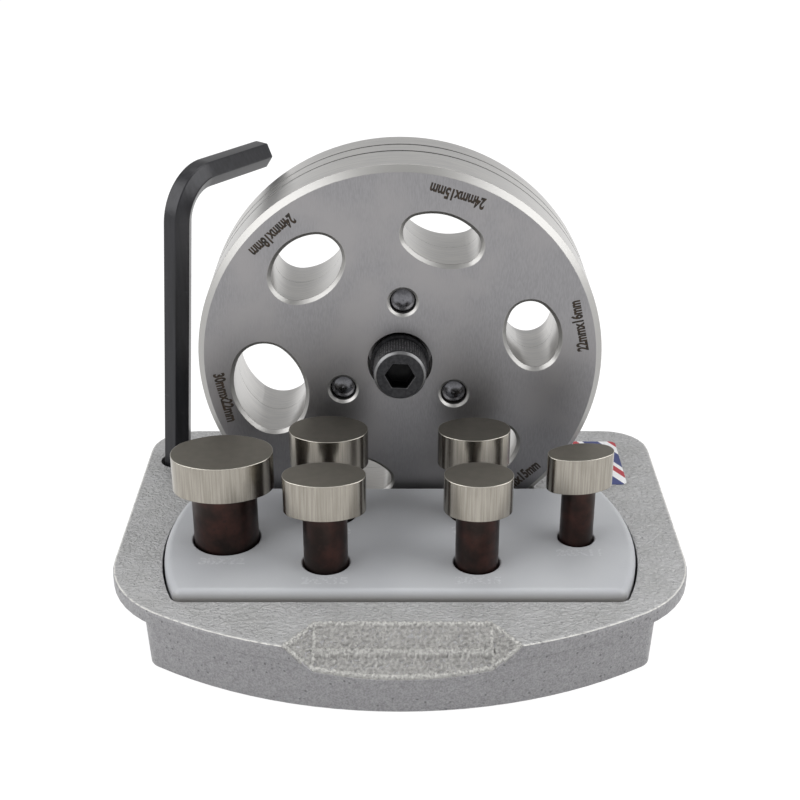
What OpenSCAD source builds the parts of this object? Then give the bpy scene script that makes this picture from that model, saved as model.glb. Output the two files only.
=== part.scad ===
// Oval disc cutter for jewellers: a clamped stack of three steel plates with
// six oval openings, six punches in a punch block, and a cast stand for all of it.
// Millimetres, +Z up, the front faces -Y, the stand rests on z = 0.

/* [Stand] */
// Width of the stand's flange beyond the disc, at each side
stand_side = 22.4; // [20:0.1:45]
// Depth of the stand, from the middle of the bowed front to the straight back
stand_d = 132; // [128:1:180]
// Height of the stand's top above the bench
stand_h = 20; // [19:0.5:35]
// Thickness of the flange that overhangs the skirt
flange_t = 5; // [3:0.5:8]
// Radius of the bowed front
front_r = 130; // [120:1:300]
// Radius of the two front corners
front_corner_r = 34; // [25:1:40]
// Radius of the two back corners
back_corner_r = 14; // [6:1:20]
// How far the flange overhangs the skirt at each side
overhang = 12; // [8:0.5:14]
// Draft of the skirt, as the inset at its foot
skirt_draft = 1.2; // [0.5:0.1:3]
// Step between the flange's edge and the skirt below it
skirt_step = 0.3; // [0.2:0.1:1]
// Radius of the skirt's upright corners
skirt_corner_r = 7; // [3:0.5:12]
// Rounding of the flange's edges
edge_r = 1; // [0.5:0.1:2]
// Metal left under the deepest part of the disc's trough
trough_floor = 2.5; // [2:0.1:4]
// Length of the sloping plaque along its straight edges
plaque_l = 49; // [30:1:60]
// How far the plaque reaches back into the flange
plaque_back = 15.8; // [8:0.2:18]
// How far down the front the plaque reaches
plaque_drop = 9.2; // [5:0.2:11]
// Reach of the plaque's pointed ends beyond its straight edges
plaque_point = 8.2; // [4:0.2:12]
// How far the plaque sits to the right of the stand's middle
plaque_shift = 0.8; // [-2:0.1:2]
// Width of the rib along the middle of the plaque
rib_w = 1.3; // [0.8:0.1:3]
// Height of that rib
rib_h = 0.6; // [0.3:0.1:1.5]

/* [Punch block] */
// Width of the punch block across its bowed sides
block_w = 140.8; // [132:0.2:150]
// Depth of the punch block, front to back
block_d = 61; // [54:0.5:64]
// Radius of its bowed sides
block_side_r = 76; // [60:1:200]
// Radius of its upright corners
block_corner_r = 3; // [1:0.5:8]
// Rounding of its top edge
block_edge_r = 2.6; // [1:0.1:4]
// Height that the block stands above the stand
block_proud = 3; // [1:0.5:6]
// Depth of the pocket that it sits in
pocket_depth = 14; // [13:0.5:16]
// Stand left between the block's face and the stand's front edge
block_margin = 25.8; // [22:0.2:34]
// Depth of the six holes for the punches
hole_depth = 15; // [10:0.5:15.5]
// Lead-in chamfer round each of those holes
hole_lead = 0.4; // [0.3:0.1:1.5]

/* [Punches] */
// Length of each punch from end to end
punch_l = 44; // [36:1:60]
// Height of the oval cutting head
head_h = 11.3; // [8:0.1:16]
// Chamfer at the foot of each shank
shank_chamfer = 0.8; // [0.3:0.1:1.5]
// Distance from the pattern's centre to the outer punches
outer_x = 52.5; // [51:0.5:54]
// Distance from the pattern's centre to the inner columns
inner_x = 22; // [21:0.5:23]
// Distance from the pattern's centre to the front and rear rows
row_y = 14.2; // [12:0.1:17]
// How far the outer punches stand in front of the pattern's centre
outer_forward = 0.6; // [0:0.1:2]
// How far the pattern's centre lies to the right of the block's
pattern_right = 0.4; // [-1:0.1:1]
// How far the pattern's centre lies in front of the block's
pattern_forward = 0.4; // [-1:0.1:1]
// Shank diameter of the largest punch, at the left
shank_a = 19.3; // [12:0.1:20]
// Shank diameter of the rear left punch
shank_b = 15.5; // [10:0.1:17]
// Shank diameter of the front left punch
shank_c = 12.9; // [9:0.1:14]
// Shank diameter of the rear right punch
shank_d = 13.5; // [9:0.1:15]
// Shank diameter of the front right punch
shank_e = 12.6; // [9:0.1:14]
// Shank diameter of the smallest punch, at the right
shank_f = 10; // [7:0.1:10.5]

/* [Disc plates] */
// Diameter of the three plates
disc_d = 125.2; // [122:0.2:128]
// Thickness of the front plate, which guides the punches
front_t = 16; // [12:0.5:20]
// Thickness of the middle plate
middle_t = 7; // [5:0.5:10]
// Thickness of the back plate, which the screw pulls on
back_t = 9; // [8:0.5:12]
// Chamfer round the front plate's face
rim_chamfer = 1.9; // [1:0.1:3]
// Bevel on every other rim edge
rim_bevel = 0.5; // [0.2:0.1:1]
// Distance from the disc's centre to the centres of the openings
opening_r = 41.7; // [41:0.1:43]
// Direction of the first opening, in degrees; the others follow every 60
opening_dir = 15; // [0:1:30]
// Length and width of the largest oval
oval_a = [30, 22]; // [10:0.5:30]
// Length and width of the second oval
oval_b = [24, 18]; // [10:0.5:26]
// Length and width of the third oval
oval_c = [24, 15]; // [10:0.5:26]
// Length and width of the fourth oval
oval_d = [22, 16]; // [10:0.5:26]
// Length and width of the fifth oval
oval_e = [20, 15]; // [10:0.5:26]
// Length and width of the smallest oval
oval_f = [20, 11]; // [9:0.5:26]
// Chamfer round each opening's front edge
opening_chamfer = 1.1; // [0.4:0.1:1.5]
// Depth of the back plate's land, the edge that a punch cuts against
die_land = 3; // [2:0.5:6]
// How much wider each opening is behind that land, all round
die_relief = 1; // [0.3:0.1:1.5]
// How far the whole disc has rolled in its trough, in degrees
disc_roll = -2.5; // [-10:0.5:10]
// Gap between the punch block and the disc's face
disc_gap = 2.4; // [2.3:0.1:6]

/* [Guide pins and clamp screw] */
// Diameter of the three guide pins
pin_d = 8; // [5:0.5:9]
// Distance from the disc's centre to the pins
pin_r = 20; // [18.5:0.1:22]
// How far the pins' domed ends lie below the disc's face
pin_recess = 1.2; // [0.5:0.1:3]
// Chamfer round each pin hole
pin_chamfer = 0.8; // [0.3:0.1:1.2]
// Nominal diameter of the clamp screw
screw_d = 10; // [8:0.5:11]
// Length of the screw under its head
screw_l = 25; // [24.5:0.1:25.5]
// Diameter of the screw's head
screw_head_d = 16; // [14:0.5:17]
// Height of the screw's head
screw_head_h = 10; // [8:0.5:12]
// Width across the flats of the screw's socket
socket_af = 8; // [6:0.1:9]
// Depth of that socket
socket_depth = 5; // [4.5:0.1:6]
// How far the loosened head stands in front of the disc's face
screw_proud = 10.2; // [9.8:0.1:10.6]
// Diameter of the counterbore for the head
counterbore_d = 20; // [19:0.1:22]
// Depth of the counterbore
counterbore_depth = 8; // [7.5:0.1:8.5]
// Diameter of the washer under the head
washer_d = 18; // [17:0.1:18.4]
// Thickness of that washer
washer_t = 1.6; // [1:0.1:2]

/* [Hex key] */
// Width of the key across its flats
key_af = 8; // [6:0.1:9]
// Length of the key's long arm
key_long = 108.5; // [90:0.5:140]
// Length of the key's short arm
key_short = 46.6; // [36:0.2:60]
// Radius of the key's bend, at its centre line
key_bend_r = 13; // [10:0.5:20]
// How far the loose key leans over to the right, in degrees
key_lean = 3.9; // [0:0.1:4]
// Direction of the short arm, in degrees from the right
key_turn = 58; // [40:1:80]
// Depth of the hole that the key stands in
key_hole_depth = 8; // [7:0.1:9]
// Distance from that hole to the stand's left edge
key_edge = 9.9; // [9:0.1:11]
// Distance from that hole to the stand's back edge
key_back = 22.3; // [20:0.1:40]
// Metal round that hole, under the flange
key_boss_wall = 2.7; // [2:0.1:3.5]

/* [Label] */
// Width of the printed label
label_w = 18; // [10:0.5:20]
// Length of the label
label_d = 30; // [15:0.5:36]
// Thickness of the label
label_t = 0.2; // [0.1:0.05:0.4]
// Radius of its corners
label_r = 2; // [0.5:0.5:4]
// Distance from the label to the stand's right edge
label_edge = 10.9; // [8:0.1:14]
// Share of the free length between block and back edge left in front of it
label_share = 0.37; // [0.1:0.01:0.6]

/* [Fits] */
// Gap round the punch block in its pocket
pocket_gap = 0.7; // [0.3:0.05:1.2]
// Gap between a shank and its hole in the block, all round
hole_gap = 0.4; // [0.2:0.05:0.6]
// Gap between the disc and its trough
trough_gap = 0.3; // [0.2:0.05:0.6]
// Gap between a punch's head and the opening that it fits, all round
cut_gap = 0.05; // [0.02:0.01:0.1]
// Running clearance of pins and screw in their holes, all round
run_gap = 0.05; // [0.02:0.01:0.08]
// Gap all round the leaning key at the mouth of its hole
key_gap = 0.65; // [0.6:0.05:0.9]

/* [Hidden] */
$fn = 96;
arc_fn = 180;              // segments on the disc and its trough
eps = 0.02;                // overlap of a cut past the face that it opens
arc_lap = 0.02;            // how much the end arcs of an oval are enlarged

// Sizes and places that follow
stand_w = disc_d + 2*stand_side;
front_y = -stand_d/2;
back_y = stand_d/2;
block_y = front_y + block_margin + block_d/2;      // centre of the punch block
block_top = stand_h + block_proud;
block_bottom = stand_h - pocket_depth;
hole_floor = block_top - hole_depth;
face_y = block_y + block_d/2 + disc_gap;           // the disc's front face
disc_t = front_t + middle_t + back_t;
disc_back_y = face_y + disc_t;
disc_r = disc_d/2;
disc_z = trough_floor + trough_gap + disc_r;       // the disc's centre
screw_under = screw_head_h - screw_proud;          // depth of the loosened head's underside
key_x = -(stand_w/2 - key_edge);
key_y = back_y - key_back;
key_hole_r = key_af/sqrt(3) + key_gap;
hole_x0 = pattern_right;                           // centre of the punches' pattern
hole_y0 = block_y - pattern_forward;
label_room = back_y - (block_y + block_d/2 + pocket_gap);
label_y = back_y - label_d - (1 - label_share)*(label_room - label_d);

// One line for each oval: size, shank, place in the pattern, turn in its hole,
// and direction of its opening from the disc's centre
OVALS = [
  [oval_a, shank_a, [-outer_x, -outer_forward],  4, opening_dir + 180],
  [oval_b, shank_b, [-inner_x,  row_y],         -1, opening_dir + 120],
  [oval_c, shank_c, [-inner_x, -row_y],          1, opening_dir + 60],
  [oval_d, shank_d, [ inner_x,  row_y],          3, opening_dir],
  [oval_e, shank_e, [ inner_x, -row_y],          0, opening_dir - 60],
  [oval_f, shank_f, [ outer_x, -outer_forward], 11, opening_dir - 120]];
PIN_DIRS = [90, 210, 330];

IRON   = [0.65, 0.65, 0.65];
RESIN  = [0.68, 0.69, 0.72];
GROUND = [0.72, 0.71, 0.68];
BLUED  = [0.20, 0.15, 0.14];
PLATE  = [0.58, 0.58, 0.59];
BLACK  = [0.14, 0.14, 0.15];
PAPER  = [0.93, 0.93, 0.94];

// ---- Ovals -------------------------------------------------------------
// An oval is four arcs that meet smoothly: two end arcs and two flank arcs.
function end_arc(a, b)   = (a*a + b*b - (a - b)*sqrt(a*a + b*b))/(2*a);
function flank_arc(a, b) = (a*a + b*b + (a - b)*sqrt(a*a + b*b))/(2*b);

// The prism of an oval, h high, grown all round by grow, and by flare more at its top.
// The end arcs stand a hair proud near the joints, so that they cross the flank
// arcs cleanly there; the oval's length and width stay exact.
module oval_solid(size, h, grow = 0, flare = 0) {
  a = size[0]/2;
  b = size[1]/2;
  r = end_arc(a, b) + arc_lap;
  R = flank_arc(a, b);
  x = a - end_arc(a, b);                           // where the lines to the joints start
  side = b + grow + flare + 1;                     // past the flanks
  out = x*(1 + side/(R - b));                      // where those lines get to out there
  intersection() {
    intersection_for (s = [-1, 1]) translate([0, s*(R - b), 0])
      cylinder(h = h, r1 = R + grow, r2 = R + grow + flare);
    union() {
      for (s = [-1, 1]) translate([s*(a - r), 0, 0])
        cylinder(h = h, r1 = r + grow, r2 = r + grow + flare);
      linear_extrude(height = h)
        polygon([[x, 0], [out, side], [-out, side], [-x, 0], [-out, -side], [out, -side]]);
    }
  }
}

// ---- Outlines and lofts ---------------------------------------------------
// Points of an arc about [x, y], from angle a0 to angle a1 in n steps
function arc(x, y, r, a0, a1, n) =
  [for (i = [0 : n]) let (t = a0 + (a1 - a0)*i/n) [x + r*cos(t), y + r*sin(t)]];

// Outline hw wide to each side, with a bowed front and a straight back, drawn in by d
function bowed_outline(hw, front_corner, back_corner, d = 0) =
  let (cx = hw - front_corner,
       arc_y = front_y + front_r,
       cy = arc_y - sqrt(pow(front_r - front_corner, 2) - cx*cx),
       t = atan2(cx, arc_y - cy),
       bx = hw - back_corner,
       by = back_y - back_corner)
  concat(arc(0, arc_y, front_r - d, t - 90, -t - 90, 24),
         arc(-cx, cy, front_corner - d, -91 - t, -180, 8),
         arc(-bx, by, back_corner - d, 180, 90, 6),
         arc(bx, by, back_corner - d, 90, 0, 6),
         arc(cx, cy, front_corner - d, 0, t - 89, 8));

// Outline of the punch block: bowed sides, straight front and back, grown by d
function block_outline(d = 0) =
  let (side_x = block_w/2 - block_side_r,
       cy = block_d/2 - block_corner_r,
       cx = side_x + sqrt(pow(block_side_r - block_corner_r, 2) - cy*cy),
       t = atan2(cy, cx - side_x))
  concat(arc(side_x, 0, block_side_r + d, t, -t, 14),
         arc(cx, -cy, block_corner_r + d, -t - 8, -90, 4),
         arc(-cx, -cy, block_corner_r + d, -90, t - 172, 4),
         arc(-side_x, 0, block_side_r + d, t + 180, 180 - t, 14),
         arc(-cx, cy, block_corner_r + d, 172 - t, 90, 4),
         arc(cx, cy, block_corner_r + d, 90, t + 8, 4));

// A closed solid through rings of points that run clockwise, one above the other
module loft(rings, heights) {
  n = len(rings[0]);
  top = len(rings) - 1;
  polyhedron(
    points = [for (k = [0 : top], p = rings[k]) [p[0], p[1], heights[k]]],
    faces = concat(
      [[for (i = [n - 1 : -1 : 0]) i]],
      [for (k = [0 : top - 1], i = [0 : n - 1]) let (j = (i + 1)%n)
        [k*n + i, k*n + j, (k + 1)*n + j]],
      [for (k = [0 : top - 1], i = [0 : n - 1]) let (j = (i + 1)%n)
        [k*n + i, (k + 1)*n + j, (k + 1)*n + i]],
      [[for (i = [0 : n - 1]) top*n + i]]));
}

// ---- Stand -------------------------------------------------------------
module flange() {
  e = edge_r;
  rings = [[e*0.6, -flange_t], [0, e*0.6 - flange_t], [0, -e], [e*0.3, -e*0.3], [e, 0]];
  translate([0, 0, stand_h])
    loft([for (r = rings) bowed_outline(stand_w/2, front_corner_r, back_corner_r, r[0])],
         [for (r = rings) r[1]]);
}

// The skirt follows the flange at front and back, and stands in at the sides
module skirt() {
  rings = [[skirt_draft + 0.5, 0], [skirt_draft, 0.5], [skirt_step, stand_h - 1.5]];
  loft([for (r = rings) bowed_outline(stand_w/2 - overhang, skirt_corner_r, skirt_corner_r, r[0])],
       [for (r = rings) r[1]]);
}

// The notch that leaves the sloping, six-sided plaque in the front edge
module plaque_notch() {
  x = plaque_l/2;
  point_x = x + plaque_point;
  y0 = front_y + plaque_back;
  far = plaque_back + 12;                          // to a plane in front of the stand
  edge = plaque_back - (front_r - sqrt(front_r*front_r - point_x*point_x));
  w = x + plaque_point*far/edge;
  drop = far*plaque_drop/plaque_back;
  translate([plaque_shift, y0, stand_h]) polyhedron(
    points = [[-x, 0, 6], [x, 0, 6], [w, -far, 6], [-w, -far, 6],
              [-x, 0, 0], [x, 0, 0], [w, -far, 0], [-w, -far, 0],
              [x, -far, -drop], [-x, -far, -drop]],
    faces = [[0, 1, 2, 3], [1, 0, 4, 5], [2, 1, 5, 6], [0, 3, 7, 4],
             [3, 2, 6, 8, 9, 7], [4, 9, 8, 5], [5, 8, 6], [4, 7, 9]]);
}

// The rib along the middle of the plaque
module plaque_rib() {
  tilt = atan2(plaque_drop, plaque_back);
  mid = 0.52;
  translate([plaque_shift - plaque_l/2, front_y + plaque_back*(1 - mid), stand_h - plaque_drop*mid])
    rotate([tilt, 0, 0])
      translate([0, -rib_w/2, -1]) cube([plaque_l, rib_w, rib_h + 1]);
}

module trough() {
  y0 = block_y + block_d/2 - trough_gap;
  translate([0, disc_back_y + trough_gap, disc_z]) rotate([90, 0, 0])
    cylinder(h = disc_back_y + trough_gap - y0, r = disc_r + trough_gap, $fn = arc_fn);
}

module key_boss() {
  r = key_hole_r + key_boss_wall;
  intersection() {
    translate([key_x, key_y, stand_h - flange_t - key_hole_depth + 1])
      cylinder(h = key_hole_depth, r1 = r - 0.5, r2 = r);
    translate([edge_r - stand_w/2, key_y - r, 0]) cube([key_edge + r, 2*r, stand_h]);
  }
}

module stand_casting() color(IRON) difference() {
  union() {
    difference() {
      union() {
        flange();
        skirt();
        key_boss();
      }
      plaque_notch();
    }
    plaque_rib();
  }
  translate([0, block_y, block_bottom])
    linear_extrude(height = pocket_depth + 1) polygon(block_outline(pocket_gap));
  trough();
  translate([key_x, key_y, stand_h - key_hole_depth])
    cylinder(h = key_hole_depth + 1, r = key_hole_r);
}

module stand_label() color(PAPER)
  translate([stand_w/2 - label_edge - label_w, label_y, stand_h])
    linear_extrude(height = label_t)
      polygon(concat(arc(label_r, label_r, label_r, 180, 270, 8),
                     arc(label_w - label_r, label_r, label_r, -90, 0, 8),
                     arc(label_w - label_r, label_d - label_r, label_r, 0, 90, 8),
                     arc(label_r, label_d - label_r, label_r, 90, 180, 8)));

// ---- Punch block and punches ---------------------------------------------
module punch_block() color(RESIN) difference() {
  rings = concat([[0, block_bottom]],
    [for (t = [0 : 18 : 90]) [block_edge_r*(1 - cos(t)), block_top - block_edge_r*(1 - sin(t))]]);
  translate([0, block_y, 0])
    loft([for (r = rings) block_outline(-r[0])], [for (r = rings) r[1]]);
  for (o = OVALS) translate([hole_x0 + o[2][0], hole_y0 + o[2][1], 0]) {
    r = o[1]/2 + hole_gap;
    translate([0, 0, hole_floor]) cylinder(h = hole_depth + 1, r = r);
    translate([0, 0, block_top - hole_lead])
      cylinder(h = hole_lead + eps, r1 = r, r2 = r + hole_lead + eps);
  }
}

// A punch stands with its oval cutting head up and its shank in the block
module punch(o) translate([hole_x0 + o[2][0], hole_y0 + o[2][1], hole_floor]) rotate([0, 0, o[3]]) {
  color(BLUED) rotate_extrude() polygon([
    [0, 0], [o[1]/2 - shank_chamfer, 0], [o[1]/2, shank_chamfer],
    [o[1]/2, punch_l - head_h + 1], [0, punch_l - head_h + 1]]);
  color(GROUND) translate([0, 0, punch_l - head_h])
    oval_solid(o[0], head_h, grow = -cut_gap);
}

module punch_30x22() punch(OVALS[0]);
module punch_24x18() punch(OVALS[1]);
module punch_24x15() punch(OVALS[2]);
module punch_22x16() punch(OVALS[3]);
module punch_20x15() punch(OVALS[4]);
module punch_20x11() punch(OVALS[5]);

// ---- Disc plates -----------------------------------------------------------
// Puts a piece drawn face up on the disc's axis, with its face depth mm behind
// the disc's face
module on_disc(depth, t) translate([0, face_y + depth + t, disc_z])
  rotate([90, 0, 0]) rotate([0, 0, disc_roll]) children();

module plate_blank(t, face_bevel) rotate_extrude($fn = arc_fn) polygon([
  [0, 0], [disc_r - rim_bevel, 0], [disc_r, rim_bevel],
  [disc_r, t - face_bevel], [disc_r - face_bevel, t], [0, t]]);

module openings(t) for (o = OVALS) rotate([0, 0, o[4]]) translate([opening_r, 0, 0])
  rotate([0, 0, 90]) translate([0, 0, -1]) oval_solid(o[0], t + 2);

module pin_holes(t) for (dir = PIN_DIRS) rotate([0, 0, dir]) translate([pin_r, 0, -1])
  cylinder(h = t + 2, r = pin_d/2 + run_gap);

module front_plate() color(PLATE) on_disc(0, front_t) difference() {
  plate_blank(front_t, rim_chamfer);
  openings(front_t);
  for (o = OVALS) rotate([0, 0, o[4]]) translate([opening_r, 0, front_t - opening_chamfer])
    rotate([0, 0, 90]) oval_solid(o[0], opening_chamfer + eps, flare = opening_chamfer + eps);
  pin_holes(front_t);
  for (dir = PIN_DIRS) rotate([0, 0, dir]) translate([pin_r, 0, front_t - pin_chamfer])
    cylinder(h = pin_chamfer + eps, r1 = pin_d/2 + run_gap,
             r2 = pin_d/2 + run_gap + pin_chamfer + eps);
  translate([0, 0, -1]) cylinder(h = front_t + 2, r = screw_d/2 + 0.5);
  translate([0, 0, front_t - counterbore_depth])
    cylinder(h = counterbore_depth + 1, r = counterbore_d/2);
}

module middle_plate() color(PLATE) on_disc(front_t, middle_t) difference() {
  plate_blank(middle_t, rim_bevel);
  openings(middle_t);
  pin_holes(middle_t);
  translate([0, 0, -1]) cylinder(h = middle_t + 2, r = screw_d/2 + 0.5);
}

module back_plate() color(PLATE) on_disc(front_t + middle_t, back_t) difference() {
  plate_blank(back_t, rim_bevel);
  openings(back_t);
  for (o = OVALS) rotate([0, 0, o[4]]) translate([opening_r, 0, -1])
    rotate([0, 0, 90]) oval_solid(o[0], back_t - die_land + 1, grow = die_relief);
  pin_holes(back_t);
  translate([0, 0, -1]) cylinder(h = back_t + 2, r = screw_d/2 + run_gap);
}

// ---- Guide pins and clamp screw ---------------------------------------------
module guide_pin(dir) color(BLACK) on_disc(pin_recess, disc_t - pin_recess - 0.5)
  rotate([0, 0, dir]) translate([pin_r, 0, 0]) {
    l = disc_t - pin_recess - 0.5;
    dome_r = 0.9*pin_d;                            // radius of the domed end
    dome_h = dome_r - sqrt(dome_r*dome_r - pin_d*pin_d/4);
    intersection() {
      cylinder(h = l, r = pin_d/2);
      translate([0, 0, l - dome_r]) sphere(r = dome_r);
    }
    cylinder(h = l - dome_h, r = pin_d/2);
  }
module guide_pin_top()   guide_pin(PIN_DIRS[0]);
module guide_pin_left()  guide_pin(PIN_DIRS[1]);
module guide_pin_right() guide_pin(PIN_DIRS[2]);

module clamp_screw() color(BLACK) on_disc(screw_under - screw_head_h, screw_head_h + screw_l)
  difference() {
    r = screw_head_d/2;
    top = screw_l + screw_head_h;
    rotate_extrude() polygon([
      [0, 0], [screw_d/2 - 0.8, 0], [screw_d/2, 0.8], [screw_d/2, screw_l],
      [r, screw_l], [r, top - 0.8], [r - 0.8, top], [0, top]]);
    translate([0, 0, top - socket_depth])
      cylinder(h = socket_depth + 1, r = socket_af/sqrt(3), $fn = 6);
  }

module screw_washer() color(BLACK) on_disc(screw_under, washer_t) difference() {
  cylinder(h = washer_t, r = washer_d/2);
  translate([0, 0, -1]) cylinder(h = washer_t + 2, r = screw_d/2 + run_gap);
}

// ---- Hex key -------------------------------------------------------------
// Its flats lie square to the plane of the bend
module key_section() rotate(30) circle(r = key_af/sqrt(3), $fn = 6);

module hex_key() color(BLACK)
  translate([key_x, key_y, stand_h - key_hole_depth/2]) rotate([0, key_lean, 0])
  translate([0, 0, 0.7 - key_hole_depth/2]) rotate([0, 0, key_turn]) {
    straight = key_long - key_af/2 - key_bend_r;
    linear_extrude(height = straight) key_section();
    translate([key_bend_r, 0, straight]) rotate([-90, 0, 0]) rotate([0, 0, 180])
      rotate_extrude(angle = 90) translate([key_bend_r, 0]) key_section();
    translate([key_bend_r, 0, straight + key_bend_r]) rotate([0, 90, 0])
      linear_extrude(height = key_short - key_af/2 - key_bend_r) key_section();
  }

stand_casting();
stand_label();
punch_block();
punch_30x22();
punch_24x18();
punch_24x15();
punch_22x16();
punch_20x15();
punch_20x11();
front_plate();
middle_plate();
back_plate();
guide_pin_top();
guide_pin_left();
guide_pin_right();
clamp_screw();
screw_washer();
hex_key();
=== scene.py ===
# %% [markdown]
# # An oval disc cutter on its bench stand
# A jeweller clamps sheet silver between steel plates and drives an oval punch
# through it, which cuts a clean oval disc. This lesson dresses the finished CAD
# model: it loads the exact solids as a fixed frame, gives each one the finish of
# the real metal, paint or resin, and adds the fine work that CAD leaves out,
# such as the knurl on the screw and the sizes burnt into the steel.

# %% Load the frame
import math

import bmesh
import bpy
from mathutils import Matrix, Vector


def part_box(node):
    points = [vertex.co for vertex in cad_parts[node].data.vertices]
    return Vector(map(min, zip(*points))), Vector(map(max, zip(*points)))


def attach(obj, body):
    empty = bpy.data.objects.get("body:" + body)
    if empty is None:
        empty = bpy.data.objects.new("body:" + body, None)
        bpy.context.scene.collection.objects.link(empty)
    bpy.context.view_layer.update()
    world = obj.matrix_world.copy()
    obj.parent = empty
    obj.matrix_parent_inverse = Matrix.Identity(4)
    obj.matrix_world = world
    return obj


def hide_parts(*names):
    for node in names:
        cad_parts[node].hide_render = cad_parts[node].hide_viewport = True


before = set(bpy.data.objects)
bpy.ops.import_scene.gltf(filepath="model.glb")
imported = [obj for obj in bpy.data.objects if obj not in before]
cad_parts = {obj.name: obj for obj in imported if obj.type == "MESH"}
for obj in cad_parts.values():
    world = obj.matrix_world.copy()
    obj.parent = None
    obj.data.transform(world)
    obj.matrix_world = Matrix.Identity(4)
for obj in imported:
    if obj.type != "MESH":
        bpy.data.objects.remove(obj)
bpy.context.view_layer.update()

# %% [markdown]
# ## Small helpers
# The frame is in metres and the drawings are in millimetres, so `mm` turns one
# into the other. Colours are written as they look on a screen, and `linear`
# turns them into the light values that the renderer wants. `add` puts one node
# into a tree, fills its inputs, and gives back one of its outputs, so that a
# finish reads as a few nested steps. The names below it are the kinds and the
# settings that come up most: a Mix of colours takes the share in input 0 and
# the two colours in inputs 6 and 7.

# %% Helpers for sizes, colours and nodes
def mm(*values):
    """Millimetres to metres: one number, or a vector of three."""
    return values[0] / 1000 if len(values) == 1 else Vector(values) / 1000


def linear(hex_colour):
    """An sRGB hex colour as linear RGBA."""
    channels = [int(hex_colour[i:i + 2], 16) / 255 for i in (1, 3, 5)]
    return [c / 12.92 if c <= 0.04045 else ((c + 0.055) / 1.055) ** 2.4 for c in channels] + [1]


def add(tree, kind, *values, out=0, **settings):
    """Adds a node: links, values and #colours go into its inputs, in order or by a dictionary."""
    node = tree.nodes.new(kind)
    for name, value in settings.items():
        setattr(node, name, value)
    inputs = values[0] if values and isinstance(values[0], dict) else dict(enumerate(values))
    for key, value in inputs.items():
        if isinstance(value, bpy.types.NodeSocket):
            tree.links.new(value, node.inputs[key])
        elif isinstance(value, str) and value.startswith("#"):
            node.inputs[key].default_value = linear(value)
        else:
            node.inputs[key].default_value = value
    return node.outputs[out] if node.outputs else node


MATH, MIX = "ShaderNodeMath", "ShaderNodeMix"
RANGE, SPLIT = "ShaderNodeMapRange", "ShaderNodeSeparateXYZ"
COLOUR = {"data_type": "RGBA", "out": 2}
TIMES = {"operation": "MULTIPLY"}
print("helpers ready; mid grey is", [round(c, 3) for c in linear("#808080")[:3]])

# %% [markdown]
# ## Camera
# The camera stands where the photographer stood: in front of the stand, about
# 24 cm up, looking 26 degrees down through a 63 mm lens.

# %% Camera
LENS, LOOKS_DOWN = 63, 25.87                         # millimetres and degrees
IN_FRONT, UP = 372, 244.08                           # where it stands, in millimetres
camera = bpy.data.objects.new("camera", bpy.data.cameras.new("camera"))
bpy.context.scene.collection.objects.link(camera)
bpy.context.scene.camera = camera
bpy.context.scene.view_settings.view_transform = "Standard"
camera.data.sensor_width = 36
camera.data.sensor_fit = "HORIZONTAL"
camera.data.lens = LENS
camera.location = mm(0, -IN_FRONT, UP)
camera.rotation_euler = (math.radians(90 - LOOKS_DOWN), 0, 0)
print("camera at", [round(c, 3) for c in camera.location])

# %% [markdown]
# ## A small photo studio
# The tool stands on a white sweep in a white room. What the camera sees of both
# is pure white. Bright steel mirrors that white too, up to the height where the
# sweep ends and the grey ceiling begins. The light that falls on the tool is a
# separate, plain level, so a colour renders about as it is written.

# %% Room
def white_where_seen(tree, lit, white):
    """Mixes two shaders: lit for soft light, white for the camera and for reflections."""
    ray = add(tree, "ShaderNodeLightPath").node.outputs
    mirrored = add(tree, MATH, ray["Is Glossy Ray"], ray["Is Transmission Ray"], operation="MAXIMUM")
    seen = add(tree, MATH, ray["Is Camera Ray"], mirrored, operation="MAXIMUM")
    return add(tree, "ShaderNodeMixShader", seen, lit, white)


world = bpy.data.worlds.new("studio")
bpy.context.scene.world = world
world.use_nodes = True
tree = world.node_tree
tree.nodes.clear()
room = add(tree, "ShaderNodeBackground", "#F6F6F6", 0.28)
upward = add(tree, SPLIT, add(tree, "ShaderNodeTexCoord", out="Generated"), out="Z")
ceiling = add(tree, RANGE, upward, 0.06, 0.30, 1.0, 0.5)
camera_ray = add(tree, "ShaderNodeLightPath", out="Is Camera Ray")
white = add(tree, "ShaderNodeBackground", add(tree, MATH, ceiling, camera_ray, operation="MAXIMUM"), 1.0)
add(tree, "ShaderNodeOutputWorld", white_where_seen(tree, room, white))
print("room:", world.name)

# %% [markdown]
# ## The white sweep
# The floor is a large sheet of white paper. A tenth of its white near the tool
# comes from the lamps, which keeps a faint shadow under the stand, and farther
# out it glows pure white, so that its far edge doesn't show.

# %% Floor
FLOOR = 3                                            # metres from its middle to its edges
sheet = bpy.data.meshes.new("studio_floor")
sheet.from_pydata([(-FLOOR, -FLOOR, 0), (FLOOR, -FLOOR, 0), (FLOOR, FLOOR, 0), (-FLOOR, FLOOR, 0)],
                  [], [(0, 1, 2, 3)])
floor = bpy.data.objects.new("studio_floor", sheet)
bpy.context.scene.collection.objects.link(floor)
sweep = bpy.data.materials.new("white_sweep")
sweep.use_nodes = True
tree = sweep.node_tree
tree.nodes.clear()
paper = add(tree, "ShaderNodeBsdfDiffuse", (0.6, 0.6, 0.6, 1))
soft = add(tree, "ShaderNodeBsdfDiffuse", (0.22, 0.22, 0.22, 1))
away = add(tree, "ShaderNodeVectorMath", add(tree, "ShaderNodeTexCoord", out="Object"),
           operation="LENGTH", out="Value")
glow = add(tree, "ShaderNodeEmission", (1, 1, 1, 1), add(tree, RANGE, away, 0.6, 2.0, 0.9, 1.0))
add(tree, "ShaderNodeOutputMaterial",
    white_where_seen(tree, paper, add(tree, "ShaderNodeAddShader", soft, glow)))
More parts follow.
